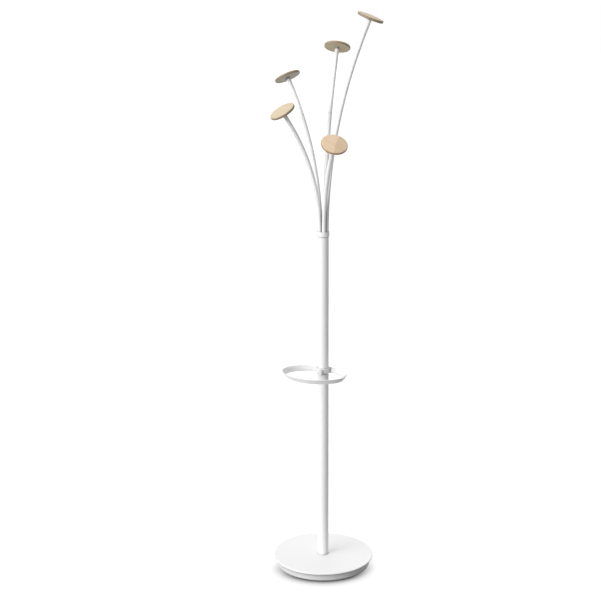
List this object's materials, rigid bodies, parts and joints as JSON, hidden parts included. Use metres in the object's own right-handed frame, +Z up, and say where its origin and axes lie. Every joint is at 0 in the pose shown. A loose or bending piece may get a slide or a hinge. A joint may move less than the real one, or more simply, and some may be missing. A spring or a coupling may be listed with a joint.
{
  "type": "coat_rack",
  "caption": "Standing coat rack: heavy round base, slim round column, curved arms of different heights that end in wooden discs, and an oval umbrella ring that slides and turns on the column.",
  "frame": {"origin": "centre of the base's underside, on the floor and on the column's axis", "axes": "+Z up along the column, +Y to the back of the pictured view, +X to its right"},
  "size_m": [0.3681, 0.3737, 1.913],
  "materials": {
    "powder_white": "satin white powder coat",
    "disc_beech": "pale beech, matt lacquer",
    "floor_rubber": "matt dark rubber sheet",
    "cover_board": "plain grey sheet",
    "ballast_iron": "raw casting",
    "fastener_steel": "zinc-plated steel",
    "liner_nylon": "natural nylon",
    "knob_plastic": "satin white plastic"
  },
  "bodies": {
    "stand": {"base_floor_mat": "floor_rubber", "base_bottom_cover": "cover_board", "base_skirt": "powder_white", "base_plate": "powder_white", "ballast_weight": "ballast_iron", "base_washer": "fastener_steel", "base_bolt": "fastener_steel", "column_foot_plug": "fastener_steel", "column_tube": "powder_white", "crown_collar": "powder_white", "crown_hub": "fastener_steel", "crown_screws": "fastener_steel", "arm_1": "powder_white", "arm_2": "powder_white", "arm_3": "powder_white", "arm_4": "powder_white", "arm_5": "powder_white", "disc_1": "disc_beech", "disc_2": "disc_beech", "disc_3": "disc_beech", "disc_4": "disc_beech", "disc_5": "disc_beech", "arm_end_plugs": "fastener_steel", "disc_studs": "fastener_steel"},
    "liner": {"clamp_liner": "liner_nylon"},
    "ring": {"ring_collar": "powder_white", "clamp_boss": "powder_white", "umbrella_ring": "powder_white"},
    "knob": {"clamp_screw": "fastener_steel", "clamp_knob": "knob_plastic"}
  },
  "joints": [
    {"name": "ring_height", "type": "slide", "parent": "stand", "child": "liner", "axis": [0, 0, 1], "range_m": [-0.35, 0.4]},
    {"name": "ring_swivel", "type": "hinge", "parent": "liner", "child": "ring", "pos_m": [0, 0, 0.7085], "axis": [0, 0, 1], "continuous": true},
    {"name": "knob_turn", "type": "hinge", "parent": "ring", "child": "knob", "pos_m": [0, 0, 0.7085], "axis": [-0.2756, -0.9613, 0], "range_deg": [0, 720]}
  ]
}
